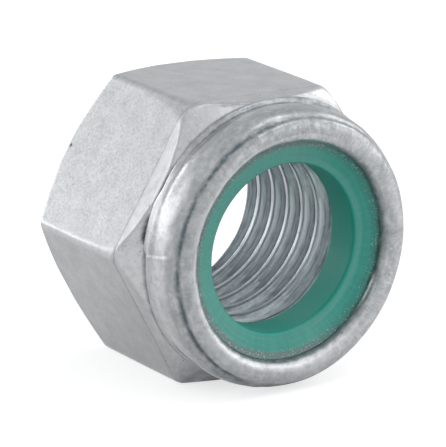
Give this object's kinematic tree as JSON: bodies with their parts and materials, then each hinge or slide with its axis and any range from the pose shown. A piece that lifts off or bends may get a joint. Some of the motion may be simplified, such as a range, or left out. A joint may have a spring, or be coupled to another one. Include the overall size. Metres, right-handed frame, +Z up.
{
  "type": "lock nut",
  "caption": "Zinc-plated steel hexagon lock nut with a round rolled collar that traps a teal nylon locking ring.",
  "frame": {"origin": "centre of the bounding box, on the bore axis", "axes": "+Y along the bore axis towards the bearing face, -Y towards the collar with the locking ring, +Z up from the flat the nut lies on"},
  "size_m": [0.0366, 0.0248, 0.0318],
  "materials": {
    "zinc_plated_steel": "zinc plated, satin, slightly mottled",
    "nylon": "semi-matt moulded nylon"
  },
  "bodies": {
    "root": {"nut_body": "zinc_plated_steel", "locking_ring": "nylon"}
  },
  "joints": []
}
